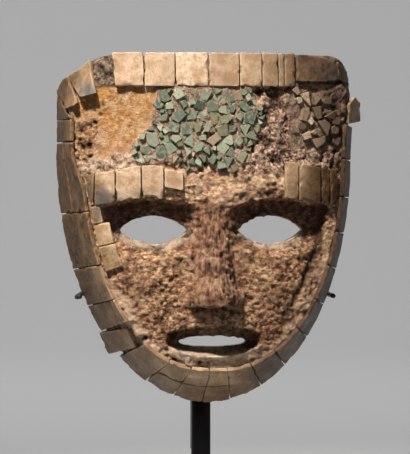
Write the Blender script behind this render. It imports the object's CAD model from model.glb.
import itertools
import math

import bmesh
import bpy
import numpy as np
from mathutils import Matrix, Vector, geometry
from mathutils.kdtree import KDTree


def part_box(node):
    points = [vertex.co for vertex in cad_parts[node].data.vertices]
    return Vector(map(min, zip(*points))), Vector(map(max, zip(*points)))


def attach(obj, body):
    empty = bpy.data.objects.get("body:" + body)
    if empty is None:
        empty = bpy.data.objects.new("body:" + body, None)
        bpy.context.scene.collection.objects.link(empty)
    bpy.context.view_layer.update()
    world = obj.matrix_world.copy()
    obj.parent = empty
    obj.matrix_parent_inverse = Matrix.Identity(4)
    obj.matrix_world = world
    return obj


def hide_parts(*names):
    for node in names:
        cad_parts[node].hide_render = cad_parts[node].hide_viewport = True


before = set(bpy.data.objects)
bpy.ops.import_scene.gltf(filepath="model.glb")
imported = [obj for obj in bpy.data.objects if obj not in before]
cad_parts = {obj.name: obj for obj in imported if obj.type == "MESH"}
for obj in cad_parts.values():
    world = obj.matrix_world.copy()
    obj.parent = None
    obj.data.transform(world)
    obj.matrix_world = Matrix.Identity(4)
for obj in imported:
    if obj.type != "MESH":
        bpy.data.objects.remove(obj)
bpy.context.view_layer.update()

MM = 0.001

# The mask's own frame, in millimetres: x to the viewer's right, y into the depth, z up from the chin.
CORE_LOW, CORE_HIGH = (np.array(corner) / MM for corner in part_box("wooden_face"))
HALF_WIDTH = 95.5
TOP = 229
CHIN = 2.5  # height of the outline's lowest point
WIDEST = 160  # height at which the outline is widest
RIM = 62  # depth of the flat back edge
RIM_OVERHANG = 0.56  # how far the side walls run back past the rim
RIGHT_FLARE = 3  # how far the upper right corner stands out past the half width
ORIGIN = np.array([CORE_LOW[0] + HALF_WIDTH, CORE_HIGH[1] - RIM - RIM_OVERHANG, CORE_HIGH[2] - TOP])
WALL = 9  # thickness of the wood
LEFT_CORNER = (34, 32)  # radii of the upper corners, across and up
RIGHT_CORNER = (24, 24)


def triples(items, name):
    flat = np.empty(len(items) * 3)
    items.foreach_get(name, flat)
    return flat.reshape(-1, 3)


def local(obj):
    """An object's points in the mask's frame."""
    return triples(obj.data.vertices, "co") / MM - ORIGIN


# Small numeric helpers

highest = np.maximum.reduce


def ramp(start, end, value):
    """A smooth climb from 0 at the start to 1 at the end, which may be the lower of the two."""
    t = np.clip((value - start) / (end - start), 0, 1)
    return t * t * (3 - 2 * t)


def hill(dx, dz=0.0, power=2):
    """A bump of height 1; a higher power makes its top flatter and its sides steeper."""
    return np.exp(-(np.abs(dx) ** power) - np.abs(dz) ** power)


HASH_STEPS = (374761393, 668265263, 974634777)  # large odd numbers, one for each axis
HASH_MIX = 1274126177
LOW_32_BITS = 0xFFFFFFFF
LOW_24_BITS = 0xFFFFFF


def hashed(cell, seed):
    """A repeatable number from 0 to 1 for each row of three whole numbers."""
    mixed = sum(cell[:, axis] * step for axis, step in enumerate(HASH_STEPS))
    mixed = (mixed + seed * HASH_MIX) & LOW_32_BITS
    mixed = ((mixed ^ (mixed >> 13)) * HASH_MIX) & LOW_32_BITS
    return ((mixed ^ (mixed >> 16)) & LOW_24_BITS) / LOW_24_BITS


# A turn that keeps the noise's lattice off the mask's own directions
TURN = np.array([[0.8, 0.36, -0.48], [-0.6, 0.48, -0.64], [0.0, 0.8, 0.6]])


def noise(points, size, seed):
    """Smooth noise from -1 to 1 with bumps of about a size in millimetres."""
    scaled = points / size @ TURN
    base = np.floor(scaled).astype(np.int64)
    part = scaled - base
    part = part * part * (3 - 2 * part)
    total = np.zeros(len(points))
    for corner in itertools.product((0, 1), repeat=3):
        weight = np.prod(np.where(corner, part, 1 - part), axis=1)
        total += weight * hashed(base + corner, seed)
    return 2 * total - 1


def rough(points, size, seed):
    """Noise with finer noise on it."""
    return sum(noise(points, size / 2**k, seed + k) * 0.55**k for k in range(3))


def spot_distance(points, size, seed):
    """Distances to the nearest of scattered spots, in spot spacings."""
    scaled = points / size
    base = np.floor(scaled).astype(np.int64)
    near = np.full(len(points), np.inf)
    for step in itertools.product((-1, 0, 1), repeat=3):
        cell = base + step
        spot = cell + np.stack([hashed(cell, seed + axis) for axis in range(3)], axis=1)
        near = np.minimum(near, np.linalg.norm(scaled - spot, axis=1))
    return near


def pitted(points, size, radius, seed):
    """Scattered round pits: 1 in their middles, 0 outside them."""
    return np.clip(1 - spot_distance(points, size, seed) / radius, 0, 1)


MEAN_SPOT_DISTANCE = 0.55


def granules(points, size, seed):
    """Rounded lumps that touch each other, about 0 on average."""
    return MEAN_SPOT_DISTANCE - spot_distance(points, size, seed)


# The outline of the wooden core

EDGE_STEP = 0.5  # spacing of the outline's points
BATCH = 4000  # points looked up at a time


def arc(cx, cz, rx, rz, start, end, count=400, closed=False):
    """Points along an ellipse; a closed one leaves out the last, which is the first again."""
    angle = np.radians(np.linspace(start, end, count, endpoint=not closed))
    return np.stack([cx + rx * np.cos(angle), cz + rz * np.sin(angle)], axis=1)


def trace_outline():
    """The outline from its top middle, clockwise as seen from the front, and the run of its length."""
    right = HALF_WIDTH + RIGHT_FLARE - RIGHT_CORNER[0]
    path = np.concatenate([
        [[0, TOP]],
        arc(right, TOP - RIGHT_CORNER[1], *RIGHT_CORNER, 90, 0),
        arc(0, WIDEST, HALF_WIDTH, WIDEST - CHIN, 0, -180),
        arc(LEFT_CORNER[0] - HALF_WIDTH, TOP - LEFT_CORNER[1], *LEFT_CORNER, 180, 90),
        [[0, TOP]],
    ])
    steps = np.linalg.norm(np.diff(path, axis=0), axis=1)
    return path, np.concatenate([[0], np.cumsum(steps)])


PATH, RUN = trace_outline()
PERIMETER = RUN[-1]


def edge_at(s):
    """Points of the outline, and the outward normals there."""
    def place(at):
        at = np.mod(at, PERIMETER)
        return np.stack([np.interp(at, RUN, PATH[:, axis]) for axis in (0, 1)], axis=1)

    along = place(s + EDGE_STEP) - place(s - EDGE_STEP)
    along /= np.linalg.norm(along, axis=1)[:, None]
    return place(s), np.stack([-along[:, 1], along[:, 0]], axis=1)


EDGE, EDGE_NORMAL = edge_at(np.arange(0, PERIMETER, EDGE_STEP))


def inset_of(x, z):
    """How far points lie inside the outline, and the outline's normals nearest to them."""
    inset = np.empty(len(x))
    normal = np.empty((len(x), 2))
    for first in range(0, len(x), BATCH):
        part = slice(first, first + BATCH)
        away = (EDGE[:, 0] - x[part, None]) ** 2 + (EDGE[:, 1] - z[part, None]) ** 2
        nearest = away.argmin(axis=1)
        edge = EDGE[nearest]
        normal[part] = EDGE_NORMAL[nearest]
        inset[part] = (edge[:, 0] - x[part]) * normal[part, 0] + (edge[:, 1] - z[part]) * normal[part, 1]
    return inset, normal


# The face as depth over x and z: the same plain forms as the solid's

EYE_LINE = TOP / 2
NOSE_BASE = TOP / 3.5
BROW_LINE = 2 * NOSE_BASE
MOUTH_LINE = 2 / 3 * NOSE_BASE
EYE_WIDTH = 2 * HALF_WIDTH / 5
EYE_HALF = EYE_WIDTH / 2 + 3
EYE_RISE = 10.5
MOUTH_HALF = 31
SLIT_HALF, SLIT_RISE, SLIT_Z = 22, 3.6, MOUTH_LINE - 2
TOP_BAND, LEFT_BAND, UPPER_LEFT_BAND, RIGHT_BAND, CHIN_BAND = 20.5, 12.5, 5.5, 10.5, 22
SIDE_DROP, TOP_DROP, CHIN_DROP = 41, 3, 26


def band_width(z, normal):
    left = LEFT_BAND - (LEFT_BAND - UPPER_LEFT_BAND) * ramp(135, 170, z)
    across = np.where(normal[:, 0] < 0, left, RIGHT_BAND)
    up = normal[:, 1]
    return across + np.where(up > 0, (TOP_BAND - across) * up, (CHIN_BAND - across) * np.abs(up) ** 3)


def band_slope(z, normal):
    upper = normal[:, 1] > 0
    side = SIDE_DROP * np.abs(normal[:, 0]) ** np.where(upper, 2.5, 1)
    end = np.where(upper, TOP_DROP, CHIN_DROP) * normal[:, 1]
    return np.hypot(side, end) / band_width(z, normal)


def field(x, z):
    """The gentle bow of the whole face, back at the sides and the chin."""
    return 13 * (np.abs(x) / 78) ** 2.2 + 17 * np.clip((78 - z) / 78, 0, 1) ** 2


def brow_edge(x):
    return BROW_LINE - 2 + 6.5 * hill((np.abs(x) - 42) / 27)


def skin(x, z, inset, normal):
    """The band and the face without its sockets, mouth and nose."""
    beyond = band_width(z, normal) - inset
    wall = band_slope(z, normal) * np.maximum(0, beyond)
    cheek = 4 * hill((np.abs(x) - 45) / 20, (z - 86) / 18)
    muzzle = 4 * hill(x / 34, (z - MOUTH_LINE - 11) / 14)
    chin = 4 * hill(x / 26, (z - 33) / 7)
    brow = 2 * hill(0, (z - brow_edge(x) - 9) / 10)
    return field(x, z) + wall - (cheek + muzzle + chin + brow) * ramp(0, -9, beyond)


def socket(x, z):
    """How deep the eye sockets are sunk."""
    side = np.abs(x)
    low = EYE_LINE - 18 + 9 * ((side - EYE_WIDTH) / 36) ** 2
    height = ramp(0, 2.2, brow_edge(x) - z) * ramp(low, low + 13, z)
    return 10 * height * ramp(8, 20, side) * ramp(78, 66, side)


def nose(x, z):
    """How far the nose stands out: t is 0 at the brows and 1 at its base."""
    t = (BROW_LINE - z) / (BROW_LINE - NOSE_BASE)
    down = np.clip(t, 0, 1)
    q = np.minimum(1, np.abs(x) / (9 + 9 * down**1.5))
    section = (1 - q**1.8) ** 1.15
    ridge = (3 + 19 * down**1.15) * (1 - 0.2 * ramp(0.86, 1, t))
    wings = 6.5 * hill((np.abs(x) - 12) / 6.5, (z - NOSE_BASE - 5.5) / 7)
    return (ridge * section * ramp(-0.22, 0.05, t) + wings) * ramp(NOSE_BASE - 1.5, NOSE_BASE, z)


def mouth(x, z):
    """How deep the parted mouth is sunk."""
    lens = np.clip(1 - (x / MOUTH_HALF) ** 2, 0, 1) ** 0.6
    low, floor = MOUTH_LINE - 3 - 9 * lens, MOUTH_LINE - 1.2 - 7 * lens
    roof, top = MOUTH_LINE + 1.2 + 6.3 * lens, MOUTH_LINE + 2.4 + 7 * lens
    return 10 * ramp(low, floor, z) * ramp(top, roof, z) * ramp(MOUTH_HALF, MOUTH_HALF - 4, np.abs(x))


def front(x, z):
    inset, normal = inset_of(x, z)
    return skin(x, z, inset, normal) + socket(x, z) + mouth(x, z) - nose(x, z)


def back(x, z):
    """Depth of the hollow back, a wall's thickness behind the front, up to the flat rim."""
    inset, normal = inset_of(x, z)
    width = band_width(z, normal)
    slope = band_slope(z, normal)
    tilt = slope * ramp(width + 8, width - 4, inset)
    eyes = 10 * hill((np.abs(x) - 39) / 36, (z - 118) / 22, 4)
    lips = 9 * hill(x / 36, (z - MOUTH_LINE) / 16)
    hollow = field(x, z) + slope * np.maximum(0, width - inset) + WALL * np.hypot(1, tilt) + eyes + lips
    return np.where(inset < WALL, RIM, np.minimum(hollow, RIM))


# The core's mesh: rings round the border band, and a fine net of triangles inside them

RING = 640  # points in each ring
RING_PLACE, RING_NORMAL = edge_at(np.arange(RING) * PERIMETER / RING)
FRONT_RINGS = 22
BACK_RINGS = (0, 3, 6, WALL - 0.4, WALL + 0.6)  # their distances from the outline
SIDE_STEPS = 16
HOLE_STEPS = 9
FRONT_NET = 0.85  # spacing of the net's points
BACK_NET = 2.4
ROW_SHARE = 0.87  # spacing of rows to spacing of points in even triangles
NET_MARGIN = 4  # how far the net's raw points run out past the half width


def almond(side):
    """An eye opening: two curves of four control points each, from corner to corner."""
    t = np.linspace(0, 1, 48, endpoint=False)[:, None]
    start = np.array([-EYE_HALF, 0.0])
    end = -start
    rise = np.array([0.0, EYE_RISE + 2])

    def curve(a, b, lift):
        early = 3 * (1 - t) ** 2 * t * (a / 2 + lift)
        late = 3 * (1 - t) * t**2 * (b / 2 + lift)
        return (1 - t) ** 3 * a + early + late + t**3 * b

    loop = np.concatenate([curve(start, end, -rise), curve(end, start, rise)])
    return loop + [side * EYE_WIDTH, EYE_LINE]


EYES = [almond(-1), almond(1)]
HOLES = [*EYES, arc(0, SLIT_Z, SLIT_HALF, SLIT_RISE, 0, 360, 84, True)]


def inside_loop(loop, x, z):
    odd = np.zeros(len(x), bool)
    for (ax, az), (bx, bz) in zip(loop, np.roll(loop, -1, axis=0)):
        if az != bz:
            odd ^= ((az > z) != (bz > z)) & (x < (bx - ax) * (z - az) / (bz - az) + ax)
    return odd


def away_from(loop, x, z):
    near = np.full(len(x), np.inf)
    for px, pz in loop:
        near = np.minimum(near, (x - px) ** 2 + (z - pz) ** 2)
    return np.sqrt(near)


def net(rim, spacing, seed):
    """Triangles that fill a rim around the holes. Points come as rim, holes and filling, in that order."""
    random = np.random.RandomState(seed)
    rows = np.arange(0, TOP, spacing * ROW_SHARE)
    columns = np.arange(-HALF_WIDTH - NET_MARGIN, HALF_WIDTH + NET_MARGIN, spacing)

    def covered(x, z):
        return inside_loop(rim, x, z) & ~highest([inside_loop(hole, x, z) for hole in HOLES])

    x, z = np.meshgrid(columns, rows)
    x[1::2] += spacing / 2
    x, z = (even.ravel() + (random.rand(even.size) - 0.5) * spacing * 0.5 for even in (x, z))
    keep = covered(x, z)
    x, z = x[keep], z[keep]
    keep = away_from(rim, x, z) > spacing * 0.6
    for hole in HOLES:
        keep &= away_from(hole, x, z) > spacing * 0.5
    points = np.concatenate([rim, *HOLES, np.stack([x[keep], z[keep]], axis=1)])
    ends = np.cumsum([len(border) for border in [rim, *HOLES]])
    loops = np.split(np.arange(ends[-1]), ends[:-1])
    edges = np.concatenate([np.stack([loop, np.roll(loop, -1)], axis=1) for loop in loops]).tolist()
    found = geometry.delaunay_2d_cdt([Vector(p) for p in points], edges, [], 0, 1e-6, False)
    triangles = np.array(found[2])
    triangles = triangles[covered(*points[triangles].mean(axis=1).T)]
    a, b, c = (points[triangles[:, k]] for k in range(3))
    flipped = (b[:, 0] - a[:, 0]) * (c[:, 1] - a[:, 1]) < (b[:, 1] - a[:, 1]) * (c[:, 0] - a[:, 0])
    triangles[flipped] = triangles[flipped][:, ::-1]
    return points, triangles, loops


def ring(inset):
    """A ring of points inside the outline, at one inset or at one for each point."""
    return RING_PLACE - RING_NORMAL * np.reshape(inset, (-1, 1))


def between(first, second):
    """Faces that join two closed loops of point numbers."""
    return np.stack([first, np.roll(first, -1), np.roll(second, -1), second], axis=1).tolist()


def core_mesh():
    """Points, faces and a mark for each point: 0 front, 1 sides of the holes, 2 back, 3 outer sides."""
    points, faces, marks = [], [], []

    def add(xz, y, mark):
        first = sum(len(p) for p in points)
        points.append(np.stack([xz[:, 0], y, xz[:, 1]], axis=1))
        marks.append(np.full(len(xz), mark))
        return np.arange(first, first + len(xz))

    def surface(rings, depth, mark, spacing, seed, order):
        """Rings and the net inside the last of them; order is the way round of their faces, 1 or -1."""
        loops = [add(xz, depth(*xz.T), mark) for xz in rings[:-1]]
        inner, triangles, rims = net(rings[-1], spacing, seed)
        numbers = add(inner, depth(*inner.T), mark)
        loops.append(numbers[rims[0]])
        for pair in zip(loops, loops[1:]):
            faces.extend(between(*pair[::order]))
        faces.extend(numbers[triangles[:, ::order]].tolist())
        return loops[0], [numbers[rim] for rim in rims[1:]]

    width = band_width(RING_PLACE[:, 1], RING_NORMAL) + 1
    rings = [ring(share * width) for share in np.linspace(0, 1, FRONT_RINGS + 1)]
    front_edge, front_holes = surface(rings, front, 0, FRONT_NET, 3, 1)
    back_edge, back_holes = surface([ring(inset) for inset in BACK_RINGS], back, 2, BACK_NET, 4, -1)
    everything = np.concatenate(points)

    def wall(start, end, steps, mark):
        a, b = everything[start], everything[end]
        rows = [a + (b - a) * k / steps for k in range(1, steps)]
        loops = [start, *(add(row[:, [0, 2]], row[:, 1], mark) for row in rows), end]
        for first, second in zip(loops, loops[1:]):
            faces.extend(between(second, first))

    wall(back_edge, front_edge, SIDE_STEPS, 3)
    for start, end in zip(front_holes, back_holes):
        wall(end, start, HOLE_STEPS, 1)
    return np.concatenate(points), faces, np.concatenate(marks)


def shade_smooth(mesh):
    mesh.polygons.foreach_set("use_smooth", [True] * len(mesh.polygons))


def put_in_scene(name, data):
    obj = bpy.data.objects.new(name, data)
    bpy.context.collection.objects.link(obj)
    return obj


def mesh_object(name, points, faces, smooth=True):
    """A new object from points in the mask's frame."""
    mesh = bpy.data.meshes.new(name)
    mesh.from_pydata((points + ORIGIN) * MM, [], faces)
    mesh.update()
    if smooth:
        shade_smooth(mesh)
    return put_in_scene(name, mesh)


def face_outward(obj):
    bm = bmesh.new()
    bm.from_mesh(obj.data)
    bmesh.ops.recalc_face_normals(bm, faces=bm.faces)
    bm.to_mesh(obj.data)
    bm.free()


def move_points(obj, points):
    obj.data.vertices.foreach_set("co", ((points + ORIGIN) * MM).ravel())
    obj.data.update()


def paint(obj, **layers):
    """Keep a number or a place for each point, for the materials."""
    for name, values in layers.items():
        values = np.asarray(values, dtype=np.float32)
        kind, entry = ("FLOAT", "value") if values.ndim == 1 else ("FLOAT_VECTOR", "vector")
        obj.data.attributes.new(name, kind, "POINT").data.foreach_set(entry, values.ravel())


# What covers the core, and where

def greenstone_patch(x, z, grow=0.0):
    """1 where the bed of the greenstone mosaic lies."""
    left = -36 - 16 * hill(0, (z - 166) / 14) - grow
    right = 22 + 9 * hill(0, (z - 188) / 13) + grow
    low = 153 + 9 * hill((x + 4.5) / 6) + 8 * ramp(12, 22, x) + 6.5 * ramp(-17, -21, x) - grow
    return ramp(left - 1, left + 1, x) * ramp(right + 1, right - 1, x) * ramp(low - 1, low + 1, z)


def shell_patch(x, z, grow=0.0):
    """1 where the bed of the shell mosaic lies."""
    across = ramp(49.5 - grow, 51.5 - grow, x) * ramp(82.5 + grow, 80.5 + grow, x)
    return across * ramp(168 - grow, 170 - grow, z)


def core_zones(points, marks):
    """How strongly each kind of surface shows at each point of the core, from 0 to 1."""
    x, _, z = points.T
    inset, normal = inset_of(x, z)
    width = band_width(z, normal)
    ahead = (marks == 0).astype(float)
    band = ahead * ramp(0.8, -0.8, inset - width)
    face = ahead * (1 - band)
    wander = 5 * noise(points, 14, 40) + 2 * noise(points, 5, 44)
    forehead = face * ramp(brow_edge(x) + 14, brow_edge(x) + 19, z + wander * 0.5)
    ochre = forehead * ramp(-30, -38, x + wander)
    ridge = face * hill(0, (z + wander * 0.5 - brow_edge(x) - 25) / 5) * ramp(-30, -40, x)
    margin = forehead * ramp(-72, -80, x + wander) * ramp(190, 178, z + wander) * (1 - ridge)
    ragged = np.stack([x + 1.6 * noise(points, 5, 46), z + 2.4 * noise(points, 4, 47)])
    slips = face * shell_patch(*ragged, 2)
    mosaics = face * greenstone_patch(*ragged, 2)
    panel = forehead * np.maximum(mosaics, ramp(14, 24, x + wander))
    strip = face * ramp(8, 2, inset - width + wander * 0.5) * ramp(150, 130, z)
    strip *= highest([ramp(30, 10, z), ramp(10, 40, x), 0.8 * ramp(95, 60, z)])
    strip *= 1 - 0.6 * ramp(30, 55, x)
    chin = hill(x / 34, (z - 24) / 7, 4) * ramp(-0.6, 0.1, noise(points, 8, 45))
    strip = np.maximum(strip, face * chin * ramp(-0.5, 0.2, noise(points, 3.5, 48)))
    lip = face * hill(x / 30, (z - 34 + 0.3 * wander) / 4.5, 4) * (1 - 0.8 * chin)
    groove = face * hill((inset - width - 10 + wander * 0.4) / 2.2)
    groove = groove * ramp(150, 125, z) * ramp(40, 60, x)
    beside_eyes = [ramp(4.2, 2.2, away_from(hole, x, z) + wander * 0.3) for hole in EYES]
    rims = face * highest(beside_eyes) * ramp(EYE_LINE + 2, EYE_LINE - 3, z)
    corner = ahead * ramp(60, 72, x) * ramp(186, 196, z) * ramp(9, 6, inset)
    crumbly = np.clip(panel + strip + ridge + margin, 0, 1) * (1 - lip)
    ochre = ochre * (1 - ridge) * (1 - margin)
    bare = ahead * (1 - crumbly) * (1 - ochre) * (1 - band) * (1 - lip)
    worn = bare * ramp(brow_edge(x) - 1, brow_edge(x) + 6, z + wander * 0.6)
    beside_nose = hill(x / 17, (z - 100) / 42, 4)
    fibrous = bare * np.maximum(beside_nose, 0.5 * ramp(0, 0.4, noise(points, 24, 31)))
    return dict(
        ahead=ahead, bare=bare, worn=worn, fibrous=fibrous, ochre=ochre, crumbly=crumbly, ridge=ridge,
        margin=margin, strip=strip, groove=groove, lip=np.maximum(lip, 0.9 * rims), mosaics=mosaics,
        slips=slips, band=band, corner=corner, inset=inset,
    )


def core_relief(points, marks, zone):
    """How far each point of the core stands out of its plain form, in millimetres."""
    lumps = noise(points, 9, 2)
    grain = rough(points, 2.8, 5)
    patchy = ramp(-0.25, 0.35, noise(points, 13, 37))
    pits = pitted(points, 4.3, 0.45, 17) * patchy
    small_pits = pitted(points, 2.6, 0.42, 19)
    grooves = 1 - 2.4 * np.abs(noise(points * [1, 1, 0.1], 2.4, 11))
    clumps = noise(points, 6, 29)
    holes = pitted(points, 6.5, 0.42, 39) * ramp(-0.3, 0.3, noise(points, 15, 38))
    crumbs = 2.1 * granules(points + 0.5 * grain[:, None], 3.6, 23) + 1.1 * granules(points, 2.0, 27)
    wrinkles = noise(points * [0.5, 1, 1.1], 3.0, 33)
    cracks = np.abs(noise(points * [0.3, 1, 1], 2.6, 13))
    ochre_pits = 1.6 * pits * ramp(-0.1, 0.4, noise(points, 11, 41))
    back_grain = rough(points * [1, 1, 0.25], 5, 51)
    side_grain = np.abs(noise(points * [1, 0.2, 1], 3.0, 52))
    open_mortar = 1 - np.maximum(zone["mosaics"], zone["slips"])
    rise = zone["bare"] * (0.6 * lumps + grain + 0.5 * wrinkles - 1.2 * pits - 0.7 * small_pits)
    rise += zone["bare"] * zone["fibrous"] * 0.6 * grooves
    rise += zone["worn"] * (0.5 - 1.3 * cracks - 0.4 * grain)
    rise += zone["crumbly"] * (crumbs + 0.9 * clumps - 2.4 * pits)
    rise += zone["crumbly"] * open_mortar * (1.2 * clumps - 6.0 * holes)
    rise += zone["ridge"] + zone["margin"] * 0.6 + zone["strip"] * 1.2 - zone["groove"] * 2.2
    rise += zone["ochre"] * (0.35 * lumps + 0.2 * grain - ochre_pits)
    rise += zone["lip"] * (0.2 * grain - 0.6 * small_pits)
    rise += zone["mosaics"] * (1.5 - 0.5 * crumbs) + zone["slips"] * (0.6 - 0.4 * crumbs)
    rise += zone["band"] * (0.9 * grain + 0.6 * crumbs - 2.0 * pits)
    rise += (marks == 1) * (0.3 * lumps + 0.3 * grain)
    rise += (marks == 2) * 0.3 * back_grain
    rise += (marks == 3) * (0.5 * lumps - 0.5 * side_grain - 1.2 * pits)
    return rise


PAINTED_ZONES = (
    "worn", "fibrous", "ochre", "crumbly", "ridge", "margin",
    "strip", "lip", "mosaics", "slips", "band", "corner",
)


def carve_core():
    """The wooden face with its relief, held inside the solid's box at the outline and the nose's tip."""
    points, faces, marks = core_mesh()
    obj = mesh_object("carved_face", points, faces)
    face_outward(obj)
    zone = core_zones(points, marks)
    x, _, z = points.T
    rise = core_relief(points, marks, zone)
    move = rise + 0.5 * noise(points, 17, 1)
    move += zone["band"] * 1.4 * ramp(0.6, 3, zone["inset"]) * (1 - zone["corner"])
    nose_tip = ramp(22, 13, np.hypot(x, z - NOSE_BASE - 4))
    held = highest([ramp(1.5, 0, zone["inset"]), nose_tip, marks == 3])
    move = np.minimum(move, 0) * held + move * (1 - held) - 0.1 * nose_tip
    move_points(obj, points + triples(obj.data.vertex_normals, "vector") * move[:, None])
    corner_shade = 9 * ramp(60, 80, x) * ramp(150, 165, z)
    deep = 13 * zone["crumbly"] * ramp(1.2, 3.5, -rise)
    shadow = zone["ahead"] * highest([socket(x, z), mouth(x, z), corner_shade, deep]) / 10
    hollow = np.clip(-rise * 0.8, 0, 1)
    proud = np.clip(rise * 0.7, 0, 1) * (1 - 0.7 * zone["mosaics"])
    paint(obj, **{name: zone[name] for name in PAINTED_ZONES})
    paint(obj, cut=marks == 1, behind=marks == 2, wall=marks == 3)
    paint(obj, hollow=hollow, proud=proud, shadow=shadow)
    return obj


# Plates of shell

VOXEL = 0.6  # spacing of a plate's fine mesh
SPOT_STEP = 0.5  # spacing of the points along its sharp edges
MASK_MIDDLE = np.array([0.0, 120.0])
FAN = (88, 212)  # where the fan of dark lines on the top row's right plate starts
STAINS = [  # x, z, radius and strength of the dark stains on the shell
    (-81, 204, 7, 1.0),
    (-71, 133, 8, 1.0),
    (-60, 131, 5, 0.6),
    (-81, 140, 5, 0.5),
    (79, 217, 7, 0.5),
]


def sharp_edges(obj):
    """Points along the sharp edges of a solid, close together."""
    bm = bmesh.new()
    bm.from_mesh(obj.data)
    bmesh.ops.remove_doubles(bm, verts=bm.verts, dist=1e-6)
    spots = []
    for edge in bm.edges:
        if len(edge.link_faces) == 2 and edge.calc_face_angle() > 0.6:
            a, b = (np.array(v.co) for v in edge.verts)
            count = max(2, int(np.linalg.norm(b - a) / (SPOT_STEP * MM)))
            spots += [a + (b - a) * k / count for k in range(count + 1)]
    bm.free()
    tree = KDTree(len(spots))
    for i, spot in enumerate(spots):
        tree.insert(spot, i)
    tree.balance()
    return tree


def remeshed(source, name):
    """A copy of a solid as a fine even mesh."""
    obj = put_in_scene(name, source.data.copy())
    modifier = obj.modifiers.new("even", "REMESH")
    modifier.mode = "VOXEL"
    modifier.voxel_size = VOXEL * MM
    smooth = obj.modifiers.new("smooth", "SMOOTH")
    smooth.factor = 0.5
    smooth.iterations = 1
    fine = bpy.data.meshes.new_from_object(obj.evaluated_get(bpy.context.evaluated_depsgraph_get()))
    obj.modifiers.clear()
    obj.data = fine
    fine.materials.clear()
    shade_smooth(fine)
    return obj


def plate_axes(points):
    """The plate's own directions: inwards across the border, along it, and out of its face."""
    middle = points.mean(axis=0)
    _, _, axes = np.linalg.svd(points - middle, full_matrices=False)
    out = axes[2] if axes[2][1] < 0 else -axes[2]
    inwards = np.array([MASK_MIDDLE[0] - middle[0], 0, MASK_MIDDLE[1] - middle[2]])
    inwards -= out * inwards.dot(out)
    inwards /= np.linalg.norm(inwards)
    return middle, np.stack([inwards, np.cross(out, inwards), out])


def plate_stain(points):
    """The dark stains, and the fan of dark lines on the top row's right plate."""
    x, _, z = points.T
    stain = np.zeros(len(points))
    for sx, sz, radius, strength in STAINS:
        wobble = radius * (1 + 0.5 * noise(points, 5, 61))
        stain = np.maximum(stain, strength * hill((x - sx) / wobble, (z - sz) / wobble, 3))
    turn = np.arctan2(z - FAN[1], FAN[0] - x)
    lines = ramp(0.0, 0.3, noise(np.stack([22 * turn, 0 * x, 0 * x], axis=1), 1, 65))
    lines *= ramp(50, 53, x) * ramp(80, 72, x) * ramp(202, 205, z)
    return np.maximum(stain, 0.75 * lines * ramp(-0.6, 0.1, noise(points, 9, 66)))


def plate_grime(points, share):
    """Dull grey-brown dirt: down both sides, below the cheeks and at the upper corners."""
    x, _, z = points.T
    sides = ramp(66, 82, np.abs(x)) * ramp(205, 185, z)
    low = ramp(125, 90, z) * (0.35 + 0.3 * ramp(10, 50, np.abs(x)))
    far_right = ramp(50, 70, x) * 0.85
    left_corner = 0.4 * ramp(-70, -80, x) + 0.4 * ramp(-84, -90, x)
    dark_top = 0.85 * ramp(50, 54, x) * ramp(200, 208, z)
    grime = highest([sides, low, far_right, left_corner, dark_top])
    return np.clip(grime * share + 0.35 * noise(points, 9, 63), 0, 1)


def plate_shade(points):
    """Darker shell towards the right, at the brows and the sides, and along the backs of the plates."""
    x, y, z = points.T
    top_row = (0.12 + 0.5 * ramp(20, 48, x)) * ramp(198, 204, z)
    right_brow = (0.3 + 0.7 * ramp(50, 74, x)) * ramp(44, 46, x) * ramp(170, 165, z)
    left_brow = 0.25 * hill((x + 50) / 26, (z - 148) / 14, 4)
    jaw = 1.3 * ramp(5, 45, x) * ramp(95, 75, z)
    left_side = 0.4 * ramp(-74, -84, x) * ramp(195, 180, z)
    right_side = ramp(82, 90, x) * (1 - 0.75 * ramp(198, 208, z))
    deep = 0.75 * ramp(8, 42, y)
    return highest([right_side, top_row, right_brow, left_brow, jaw, left_side, deep])


def age_plate(node, seed):
    """A shell plate with rounded, chipped edges and a slightly uneven face."""
    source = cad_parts[node]
    obj = remeshed(source, "aged_" + node)
    points = local(obj)
    normal = triples(obj.data.vertex_normals, "vector")
    tree = sharp_edges(source)
    edge = np.array([tree.find(spot)[2] for spot in (points + ORIGIN) * MM]) / MM
    middle, axes = plate_axes(points)
    own = (points - middle) @ axes.T + np.array([seed * 13.7, seed * 5.1, 0])
    ragged = 1.5 if node.startswith("brow") else 1.0
    chips = ramp(0.15, 0.65, noise(own, 4.5, 3)) * ramp(2.4, 0.2, edge) * ragged
    sideways = (normal @ axes[1]) ** 2
    rise = 0.2 * sideways - 0.08 - 0.8 * chips
    rise += 0.14 * rough(own, 7, 7) + 0.07 * noise(own * [0.2, 1, 1], 1.3, 9)
    rise -= np.clip(0.2 - spot_distance(own, 3.1, 5), 0, 1)
    move_points(obj, points + normal * rise[:, None])
    slipped = node.startswith("slipped")
    paint(obj, grimy=plate_grime(points, 0.5 if slipped else 1))
    paint(obj, shaded=plate_shade(points) * (0.2 if slipped else 1), stain=plate_stain(points))
    paint(obj, edge=ramp(1.6, 0, edge), chip=chips)
    pale_one = hill((middle[0] + 16) / 8) * (middle[2] > 200)
    tone = (0.5 + 0.5 * np.random.RandomState(seed).rand()) * (1 - pale_one)
    paint(obj, tone=np.full(len(points), tone), own=own)
    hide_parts(node)
    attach(obj, "root")
    return obj


# Stones of the mosaics

STONE_SIDE = 5  # points along each side of a stone
STONE_LEVELS = [(1.0, 0.0), (1.0, 0.6), (0.985, 0.94), (0.94, 1.0), (0.5, 1.0)]  # its rings: scale, height
STONE_FOOT = 0.4  # height of its lowest ring above the plain face
STONE_LEAST = 2.6  # height above which a corner of the solid belongs to a stone's top
SLOPE_STEP = 0.5  # how far from a stone's middle the slope of its bed is taken
REACHES = (1.0, 0.7, 0.4, 0.0)  # an outline's shrunken copies, whose points cover it


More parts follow.
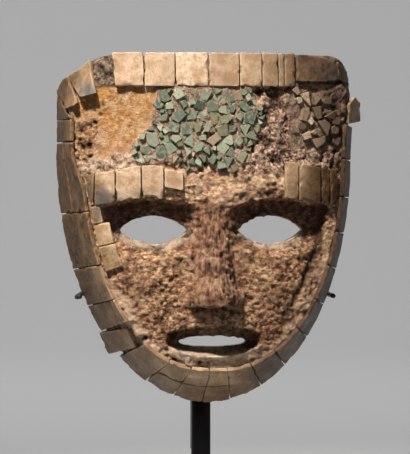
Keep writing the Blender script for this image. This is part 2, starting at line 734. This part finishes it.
def stone_outlines(node):
    """The outlines of a mosaic's stones, from the tops of its solid."""
    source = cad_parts[node]
    points = local(source)
    x, y, z = points.T
    inset, normal = inset_of(x, z)
    height = skin(x, z, inset, normal) - y
    bm = bmesh.new()
    bm.from_mesh(source.data)
    bm.verts.ensure_lookup_table()
    tops = [face for face in bm.faces if all(height[v.index] > STONE_LEAST for v in face.verts)]
    spot = {v.index: tuple(np.round(points[v.index], 2)) for face in tops for v in face.verts}
    leader = {corner: corner for corner in spot.values()}

    def first_of(corner):
        while leader[corner] != corner:
            corner = leader[corner]
        return corner

    for face in tops:
        joined = [first_of(spot[v.index]) for v in face.verts]
        for other in joined[1:]:
            leader[first_of(other)] = first_of(joined[0])
    bm.free()
    stones = {}
    for corner in leader:
        stones.setdefault(first_of(corner), []).append(corner)
    result = []
    for corners in map(np.array, stones.values()):
        x, _, z = (corners - corners.mean(axis=0)).T
        if len(corners) > 2:
            result.append(corners[np.argsort(np.arctan2(z, x))])
    return result


def turned(flat, angle):
    sine, cosine = math.sin(angle), math.cos(angle)
    return flat @ np.array([[cosine, sine], [-sine, cosine]])


def shard(loop, corners):
    """An outline with only its sharpest corners left."""
    while len(loop) > corners:
        before = loop - np.roll(loop, 1, axis=0)
        after = np.roll(loop, -1, axis=0) - loop
        area = np.abs(before[:, 0] * after[:, 1] - before[:, 1] * after[:, 0])
        loop = np.delete(loop, area.argmin(), axis=0)
    return loop


def loose(loop, random, squeeze):
    """A stone's outline with few corners, turned, resized and squeezed a little at random."""
    loop = shard(loop, random.choice([3, 4, 4, 4, 5]))
    middle = loop.mean(axis=0)
    lean = random.rand() * math.pi
    flat = turned(loop - middle, lean) * [1.12, 1.08 - squeeze * random.rand()]
    flat = turned(flat, -lean + (random.rand() - 0.5) * 0.6)
    small = random.rand() < 0.2
    return middle + flat * (0.68 + 0.12 * random.rand() if small else 0.92 + 0.24 * random.rand())


def along_sides(loop):
    along = np.arange(STONE_SIDE)[:, None] / STONE_SIDE
    return np.concatenate([a + (b - a) * along for a, b in zip(loop, np.roll(loop, -1, axis=0))])


def covering(loop):
    """Points spread over an outline."""
    middle = loop.mean(axis=0)
    return np.concatenate([middle + (along_sides(loop) - middle) * reach for reach in REACHES])


def filler_chips(outlines, area, box, sizes, tries, seed):
    """Small chips in the places that the stones leave free."""
    random = np.random.RandomState(seed)
    low, high = np.array(box)
    taken = np.concatenate([covering(outline) for outline in outlines])
    chips = []
    for _ in range(tries):
        place = low + random.rand(2) * (high - low)
        reach = sizes[0] + random.rand() * (sizes[1] - sizes[0])
        corners = 3 + random.randint(3)
        wobble = random.rand(2 * corners + 1)
        inside = area(place[:1], place[1:])[0] > 0.5
        if inside and np.linalg.norm(taken - place, axis=1).min() > 0.85 * reach:
            angle = (np.arange(corners) + 0.5 * wobble[:corners]) * 2 * math.pi / corners + 6 * wobble[-1]
            radius = reach * (0.8 + 0.5 * wobble[corners:-1])
            chip = place + radius[:, None] * np.stack([np.cos(angle), np.sin(angle)], axis=1)
            chips.append(chip)
            taken = np.concatenate([taken, covering(chip)])
    return chips


def stone_points(loop, random, tall):
    """The rings of one stone, from its foot to the middle of its face."""
    middle = loop.mean(axis=0)
    rim = along_sides(loop)
    rim += (random.rand(len(rim), 2) - 0.5) * 0.25
    around = (middle + SLOPE_STEP * np.array([[0, 0], [1, 0], [-1, 0], [0, 1], [0, -1]])).T
    depth = skin(*around, *inset_of(*around))
    slope = np.array([depth[1] - depth[2], depth[3] - depth[4]]) / (2 * SLOPE_STEP)
    out = np.array([slope[0], -1, slope[1]]) / math.sqrt(1 + slope @ slope)
    tilt = (random.rand(2) - 0.5) * (0.3 + 0.4 * random.rand())
    rings = []
    for scale, level in STONE_LEVELS:
        flat = (rim - middle) * scale
        lift = STONE_FOOT + (tall - STONE_FOOT + flat @ tilt + 0.07 * random.rand(len(rim))) * level
        spot = np.stack([middle[0] + flat[:, 0], depth[0] + flat @ slope, middle[1] + flat[:, 1]], axis=1)
        rings.append(spot + out * lift[:, None])
    rings.append((np.array([middle[0], depth[0], middle[1]]) + out * tall)[None, :])
    return rings


def stones_object(name, outlines, seed, heights):
    """Every stone of a mosaic as a chip with crisp edges and a tilted face."""
    random = np.random.RandomState(seed)
    points, faces, shade, mark = [], [], [], []
    first = 0
    for loop in outlines:
        rings = stone_points(loop, random, heights[0] + (heights[1] - heights[0]) * random.rand())
        around = len(rings[0])
        for level in range(len(rings) - 2):
            lower = first + level * around + np.arange(around)
            faces += between(lower, lower + around)
        last = first + (len(rings) - 2) * around
        tip = last + around
        faces += [(last + k, last + (k + 1) % around, tip) for k in range(around)]
        faces.append(tuple(first + k for k in reversed(range(around))))
        count = tip + 1 - first
        shade += [random.rand()] * count
        mark += [random.rand()] * count
        points += rings
        first = tip + 1
    obj = mesh_object(name, np.concatenate(points), faces, smooth=False)
    face_outward(obj)
    paint(obj, shade=shade, mark=mark, shaded=ramp(60, 80, local(obj)[:, 0]))
    return obj


def mosaic_stones(name, node, area, box, sizes, heights, squeeze, tries, seed):
    """The stones of a mosaic: those of its solid, with small chips tried for in between."""
    random = np.random.RandomState(seed)
    outlines = [loose(corners[:, [0, 2]], random, squeeze) for corners in stone_outlines(node)]
    outlines += filler_chips(outlines, area, box, sizes, tries, seed)
    obj = stones_object(name, outlines, seed, heights)
    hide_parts(node)
    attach(obj, "root")
    return obj


# Materials

class Shader:
    """A node material, built one node at a time."""

    def __init__(self, name):
        self.material = bpy.data.materials.new(name)
        self.material.use_nodes = True
        self.tree = self.material.node_tree
        self.surface = self.tree.nodes["Principled BSDF"]
        self.place, self.unit = self.add("TexCoord").outputs["Object"], MM
        self.colour = self.normal = None

    def add(self, kind, **settings):
        node = self.tree.nodes.new("ShaderNode" + kind)
        for name, value in settings.items():
            setattr(node, name, value)
        return node

    def join(self, value, socket):
        if isinstance(value, bpy.types.NodeSocket):
            self.tree.links.new(value, socket)
        else:
            socket.default_value = value

    def attribute(self, name, output="Fac"):
        return self.add("Attribute", attribute_name=name).outputs[output]

    def math(self, operation, a, b):
        node = self.add("Math", operation=operation)
        self.join(a, node.inputs[0])
        self.join(b, node.inputs[1])
        return node.outputs[0]

    def noise(self, size, detail, roughness=0.55, scale=(1, 1, 1)):
        """Noise with bumps of a size in millimetres, drawn out along an axis by a scale below 1."""
        stretched = self.add("Mapping")
        self.join(self.place, stretched.inputs["Vector"])
        stretched.inputs["Scale"].default_value = scale
        node = self.add("TexNoise")
        self.join(stretched.outputs[0], node.inputs["Vector"])
        node.inputs["Scale"].default_value = 1 / (size * self.unit)
        node.inputs["Detail"].default_value = detail
        node.inputs["Roughness"].default_value = roughness
        return node.outputs["Fac"]

    def steps(self, value, *stops):
        """A value turned into another by a ramp: pairs of position and colour or number."""
        node = self.add("ValToRGB")
        self.join(value, node.inputs[0])
        elements = node.color_ramp.elements
        while len(elements) < len(stops):
            elements.new(0.5)
        for element, (position, colour) in zip(elements, stops):
            element.position = position
            element.color = (*colour, 1) if isinstance(colour, tuple) else (colour, colour, colour, 1)
        return node.outputs["Color"]

    def tones(self, value, low, high, dark, middle, light, centre=0.5):
        """Three colours over a part of a noise's range."""
        return self.steps(value, (low, dark), (centre, middle), (high, light))

    def mix(self, share, a, b, blend="MIX"):
        node = self.add("Mix", data_type="RGBA", blend_type=blend)
        self.join(share, node.inputs[0])
        for value, socket in ((a, node.inputs[6]), (b, node.inputs[7])):
            self.join((*value, 1) if isinstance(value, tuple) else value, socket)
        return node.outputs[2]

    def patches(self, colour, value, start, end, new):
        """A new colour in patches: its share goes from start to end as the value rises."""
        return self.mix(self.steps(value, start, end), colour, new)

    def over(self, name, new, strength=None, blend="MIX"):
        """Lay a new colour over the material's where a painted number is high."""
        share = self.attribute(name)
        if strength is not None:
            share = self.math("MULTIPLY", share, strength)
        self.colour = self.mix(share, self.colour, new, blend)

    def bump(self, height, distance, strength):
        """Lay bumps over those that the material has."""
        node = self.add("Bump")
        node.inputs["Strength"].default_value = strength
        node.inputs["Distance"].default_value = distance * MM
        self.join(height, node.inputs["Height"])
        if self.normal:
            self.join(self.normal, node.inputs["Normal"])
        self.normal = node.outputs[0]

    def finish(self, roughness, specular=0.5):
        self.join(self.colour, self.surface.inputs["Base Color"])
        self.join(roughness, self.surface.inputs["Roughness"])
        self.surface.inputs["Specular IOR Level"].default_value = specular
        if self.normal:
            self.join(self.normal, self.surface.inputs["Normal"])
        return self.material


def core_material():
    """Bare carved wood under the remains of its crust, with plaster and crumbly mortar."""
    s = Shader("weathered_wood")
    broad = s.noise(14, 5)
    grain = s.noise(1.5, 5, 0.7)
    coarse = s.noise(3.5, 5, 0.65)
    fibre = s.noise(1.7, 5, 0.7, scale=(1, 1, 0.12))
    grit = s.noise(2.0, 5, 0.75, scale=(0.6, 1, 1.1))
    crust = s.tones(grit, 0.41, 0.59, (0.09, 0.032, 0.013), (0.42, 0.21, 0.10), (0.80, 0.54, 0.32))
    crust = s.patches(crust, coarse, (0.38, 0.6), (0.48, 0.0), (0.13, 0.055, 0.028))
    crust = s.patches(crust, broad, (0.52, 0.0), (0.64, 0.35), (0.60, 0.39, 0.22))
    wood = s.tones(fibre, 0.36, 0.64, (0.08, 0.03, 0.015), (0.29, 0.135, 0.075), (0.54, 0.33, 0.20))
    s.colour = crust
    s.over("fibrous", wood)
    tan = s.tones(grit, 0.38, 0.61, (0.26, 0.12, 0.06), (0.62, 0.39, 0.23), (0.84, 0.62, 0.42))
    s.over("worn", tan)
    red = s.math("MULTIPLY", s.steps(broad, (0.4, 1.0), (0.55, 0.0)), 0.55)
    s.colour = s.mix(red, s.colour, (0.62, 0.40, 0.32), "MULTIPLY")
    ochre = s.tones(coarse, 0.36, 0.62, (0.34, 0.13, 0.03), (0.50, 0.25, 0.09), (0.64, 0.40, 0.20))
    ochre = s.patches(ochre, broad, (0.36, 0.8), (0.46, 0.0), (0.58, 0.24, 0.035))
    ochre = s.patches(ochre, broad, (0.52, 0.0), (0.62, 0.5), (0.62, 0.42, 0.26))
    ochre = s.patches(ochre, grain, (0.54, 0.0), (0.66, 0.7), (0.22, 0.085, 0.03))
    s.over("ochre", ochre)
    mortar = s.tones(grain, 0.42, 0.58, (0.045, 0.018, 0.01), (0.38, 0.20, 0.12), (0.88, 0.62, 0.46))
    mortar = s.patches(mortar, coarse, (0.50, 0.0), (0.6, 0.8), (0.07, 0.03, 0.018))
    mortar = s.patches(mortar, coarse, (0.38, 0.6), (0.46, 0.0), (0.82, 0.52, 0.38))
    s.over("crumbly", mortar)
    brown = s.tones(grain, 0.38, 0.62, (0.16, 0.065, 0.025), (0.38, 0.19, 0.08), (0.60, 0.37, 0.20))
    s.over("margin", brown)
    pink = s.tones(grain, 0.38, 0.62, (0.28, 0.16, 0.10), (0.58, 0.40, 0.27), (0.80, 0.63, 0.48))
    s.over("ridge", pink, 0.8)
    s.over("strip", (0.70, 0.48, 0.32), 0.5)
    bed = s.tones(grain, 0.38, 0.62, (0.12, 0.065, 0.045), (0.29, 0.18, 0.125), (0.60, 0.43, 0.33))
    s.over("mosaics", bed)
    s.over("slips", (0.09, 0.05, 0.03), 0.6)
    cream = s.tones(coarse, 0.38, 0.62, (0.45, 0.30, 0.19), (0.74, 0.56, 0.40), (0.86, 0.70, 0.54))
    cut = s.math("MULTIPLY", s.attribute("cut"), 0.8)
    s.colour = s.mix(s.math("MAXIMUM", s.attribute("lip"), cut), s.colour, cream)
    earth = s.tones(grain, 0.38, 0.64, (0.04, 0.022, 0.014), (0.15, 0.095, 0.06), (0.38, 0.27, 0.19), 0.52)
    s.over("band", earth)
    side = s.noise(1.9, 5, 0.7, scale=(1, 0.14, 1))
    side = s.tones(side, 0.36, 0.64, (0.045, 0.022, 0.012), (0.17, 0.09, 0.048), (0.38, 0.24, 0.14))
    side = s.patches(side, coarse, (0.52, 0.0), (0.58, 0.75), (0.44, 0.30, 0.20))
    s.over("wall", side)
    s.over("corner", (0.46, 0.37, 0.28), 0.7)
    s.over("hollow", (0.035, 0.016, 0.009), 0.85)
    s.over("proud", (0.66, 0.48, 0.34), 0.35)
    s.over("shadow", (0.06, 0.028, 0.017), 0.6)
    streaks = s.noise(3, 5, scale=(1, 1, 0.15))
    inner = s.steps(streaks, (0.35, (0.05, 0.027, 0.016)), (0.65, (0.16, 0.095, 0.055)))
    s.over("behind", inner)
    s.bump(grit, 1.6, 1.0)
    s.bump(grain, 0.8, 1.0)
    s.bump(s.noise(0.7, 4, 0.7), 0.4, 0.9)
    return s.finish(s.steps(coarse, (0.3, 0.7), (0.7, 0.95)), specular=0.3)


def shell_material():
    """Aged shell: growth lines across the plate, mottled dirt, dark stains and rubbed pale edges."""
    s = Shader("aged_shell")
    s.place, s.unit = s.attribute("own", "Vector"), 1  # each plate's own place, kept in millimetres
    lines = s.noise(0.9, 4, 0.6, scale=(0.10, 1, 1))
    cloud = s.noise(7, 5, 0.6)
    mottle = s.noise(2.4, 5, 0.65)
    speck = s.noise(0.7, 4, 0.7)
    tone = s.attribute("tone")
    pale = s.mix(tone, (0.76, 0.58, 0.42), (0.50, 0.35, 0.225))
    tan = s.mix(tone, (0.54, 0.36, 0.21), (0.36, 0.225, 0.125))
    colour = s.patches(pale, cloud, (0.44, 0.0), (0.6, 1.0), tan)
    colour = s.patches(colour, mottle, (0.52, 0.0), (0.62, 0.6), (0.38, 0.20, 0.10))
    colour = s.patches(colour, lines, (0.5, 0.0), (0.64, 0.35), (0.42, 0.26, 0.14))
    s.colour = s.patches(colour, speck, (0.58, 0.0), (0.68, 0.7), (0.20, 0.12, 0.07))
    dull = s.patches((0.27, 0.165, 0.078), mottle, (0.42, 0.0), (0.58, 1.0), (0.07, 0.038, 0.016))
    dull = s.patches(dull, cloud, (0.48, 0.0), (0.62, 0.8), (0.38, 0.25, 0.125))
    dull = s.patches(dull, lines, (0.54, 0.0), (0.64, 0.5), (0.44, 0.30, 0.16))
    s.over("grimy", dull)
    s.over("edge", (0.70, 0.52, 0.35), 0.4)
    s.over("chip", (0.36, 0.24, 0.15), 0.6)
    s.over("grimy", (0.66, 0.58, 0.48), blend="MULTIPLY")
    s.over("shaded", (0.30, 0.24, 0.19), blend="MULTIPLY")
    s.over("stain", (0.07, 0.068, 0.07), 0.9)
    s.bump(lines, 0.25, 0.5)
    s.bump(mottle, 0.5, 0.5)
    s.bump(speck, 0.15, 0.6)
    return s.finish(s.steps(cloud, (0.35, 0.44), (0.65, 0.66)), specular=0.3)


def greenstone_material():
    """Greenstone from dark teal to grey-green, a few stones olive or nearly tan."""
    s = Shader("greenstone")
    shade = s.attribute("shade")
    mark = s.attribute("mark")
    dark = s.steps(shade, (0.0, (0.05, 0.10, 0.07)), (0.5, (0.15, 0.215, 0.15)))
    colour = s.patches(dark, shade, (0.5, 0.0), (1.0, 1.0), (0.36, 0.42, 0.30))
    colour = s.patches(colour, mark, (0.70, 0.0), (0.80, 0.85), (0.21, 0.21, 0.11))
    colour = s.patches(colour, mark, (0.93, 0.0), (0.95, 0.9), (0.42, 0.30, 0.19))
    vein = s.noise(2.4, 6, 0.65)
    colour = s.patches(colour, vein, (0.46, 0.0), (0.64, 0.7), (0.36, 0.36, 0.26))
    dirt = s.noise(1.2, 5, 0.7)
    s.colour = s.patches(colour, dirt, (0.50, 0.0), (0.62, 0.8), (0.24, 0.16, 0.10))
    s.bump(s.noise(0.9, 5), 0.2, 0.7)
    return s.finish(s.steps(vein, (0.3, 0.34), (0.7, 0.6)))


def slip_material():
    """Small slips of shell from brown to cream, dirty, and darker at the far right."""
    s = Shader("shell_slips")
    shade = s.attribute("shade")
    s.colour = s.tones(shade, 0.0, 1.0, (0.12, 0.08, 0.05), (0.36, 0.25, 0.155), (0.70, 0.55, 0.39))
    s.over("shaded", (0.10, 0.065, 0.04))
    dirt = s.noise(1.2, 5, 0.7)
    s.colour = s.patches(s.colour, dirt, (0.48, 0.0), (0.62, 0.8), (0.15, 0.09, 0.055))
    s.bump(s.noise(0.9, 5), 0.2, 0.7)
    return s.finish(s.steps(s.noise(2, 3), (0.3, 0.4), (0.7, 0.7)), specular=0.4)


def paint_material():
    s = Shader("matte_black_paint")
    wear = s.noise(14, 6, 0.6)
    s.colour = s.steps(wear, (0.35, 0.010), (0.62, 0.017), (0.8, 0.03))
    s.bump(s.noise(0.5, 3), 0.03, 0.5)
    return s.finish(s.steps(wear, (0.3, 0.42), (0.7, 0.6)), specular=0.4)


def softened(node, rounding, material):
    """A stand part with small rounded edges in place of its solid."""
    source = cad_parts[node]
    obj = put_in_scene("painted_" + node, source.data.copy())
    bm = bmesh.new()
    bm.from_mesh(obj.data)
    bmesh.ops.remove_doubles(bm, verts=bm.verts, dist=1e-6)
    bmesh.ops.dissolve_limit(bm, angle_limit=0.02, verts=bm.verts, edges=bm.edges)
    sharp = [e for e in bm.edges if len(e.link_faces) == 2 and e.calc_face_angle() > 0.5]
    bmesh.ops.bevel(bm, geom=sharp, offset=rounding * MM, segments=3, affect="EDGES", clamp_overlap=True)
    bm.to_mesh(obj.data)
    bm.free()
    shade_smooth(obj.data)
    obj.data.materials.clear()
    obj.data.materials.append(material)
    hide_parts(node)
    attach(obj, "root")
    return obj


def build():
    core = carve_core()
    core.data.materials.append(core_material())
    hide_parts("wooden_face")
    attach(core, "root")

    shell = shell_material()
    families = ("border_plate", "corner_plate", "slipped_plate", "brow_plate", "cheek_plate")
    plates = sorted(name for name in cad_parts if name.startswith(families))
    for seed, node in enumerate(plates, start=1):
        age_plate(node, seed).data.materials.append(shell)

    panel_top = TOP - TOP_BAND - 3
    greenstone = mosaic_stones(
        "greenstone_chips", "greenstone_mosaic", greenstone_patch, ((-56, 150), (34, panel_top)),
        sizes=(1.6, 3.4), heights=(2.2, 3.9), squeeze=0.2, tries=4000, seed=5,
    )
    greenstone.data.materials.append(greenstone_material())
    slips = mosaic_stones(
        "shell_slips", "shell_mosaic", shell_patch, ((49, 167), (83, panel_top)),
        sizes=(2.0, 3.2), heights=(2.0, 4.4), squeeze=0.5, tries=60, seed=6,
    )
    slips.data.materials.append(slip_material())

    black = paint_material()
    for node, rounding in (("stand_post", 0.7), ("stand_base", 0.5), ("stand_cradle", 0.2)):
        softened(node, rounding, black)


# Camera, light and floor

LOOK_AT = Vector((0.0, -0.010, 0.2261))
AZIMUTH, ELEVATION, DISTANCE = math.radians(-6), math.radians(1), 1.7
VIEW_HEIGHT = 0.300
WARM = (1.0, 0.95, 0.88)


def make_camera():
    """The photograph's view: a little from the left and nearly level."""
    data = bpy.data.cameras.new("camera")
    camera = put_in_scene("camera", data)
    flat = math.cos(ELEVATION)
    away = Vector((math.sin(AZIMUTH) * flat, -math.cos(AZIMUTH) * flat, math.sin(ELEVATION)))
    camera.location = LOOK_AT + away * DISTANCE
    camera.rotation_euler = (-away).to_track_quat("-Z", "Y").to_euler()
    data.sensor_fit = "VERTICAL"
    data.sensor_height = 36
    data.lens = data.sensor_height * DISTANCE / VIEW_HEIGHT
    data.clip_end = 50
    bpy.context.scene.camera = camera


def area_light(name, place, target, size, power, spread=180, colour=(1, 1, 1)):
    light = bpy.data.lights.new(name, "AREA")
    light.size = size
    light.spread = math.radians(spread)
    light.energy = power
    light.color = colour
    obj = put_in_scene(name, light)
    obj.location = place
    obj.rotation_euler = (Vector(target) - Vector(place)).to_track_quat("-Z", "Y").to_euler()
    obj.visible_camera = False


def make_stage():
    """A round floor that curves up into a wall all round, and the weak light of the surroundings."""
    radius, height, bend, around, bend_steps = 3.0, 3.0, 0.8, 96, 12
    turns = [math.pi / 2 * k / bend_steps for k in range(bend_steps + 1)]
    profile = [(radius - bend + bend * math.sin(a), bend - bend * math.cos(a)) for a in turns]
    profile.append((radius, height))
    circle = 2 * math.pi * np.arange(around) / around
    rings = [np.stack([r * np.cos(circle), r * np.sin(circle), z + 0 * circle], axis=1) for r, z in profile]
    points = np.concatenate([np.zeros((1, 3)), *rings])
    loops = [1 + k * around + np.arange(around) for k in range(len(rings))]
    faces = [(0, 1 + k, 1 + (k + 1) % around) for k in range(around)]
    for lower, upper in zip(loops, loops[1:]):
        faces += between(upper, lower)
    mesh = bpy.data.meshes.new("floor")
    mesh.from_pydata(points, [], faces)
    shade_smooth(mesh)
    floor = put_in_scene("floor", mesh)
    s = Shader("pale_floor")
    s.colour = (0.62, 0.62, 0.62, 1)
    mesh.materials.append(s.finish(0.9))
    world = bpy.data.worlds.new("world")
    bpy.context.scene.world = world
    world.use_nodes = True
    background = world.node_tree.nodes["Background"]
    background.inputs[0].default_value = (0.9, 0.95, 1.0, 1)
    background.inputs[1].default_value = 0.02


make_camera()
make_stage()
bpy.context.scene.view_settings.view_transform = "Standard"
area_light("key", (-0.52, -0.92, 1.62), (-0.06, -0.01, 0.235), size=0.16, power=1.3, spread=25, colour=WARM)
area_light("front_wash", (0.0, -0.9, 2.6), (0.0, -2.8, 0.4), size=1.2, power=7)
area_light("back_wash", (0.0, 0.9, 2.6), (0.0, 2.7, 0.2), size=1.2, power=45)
build()
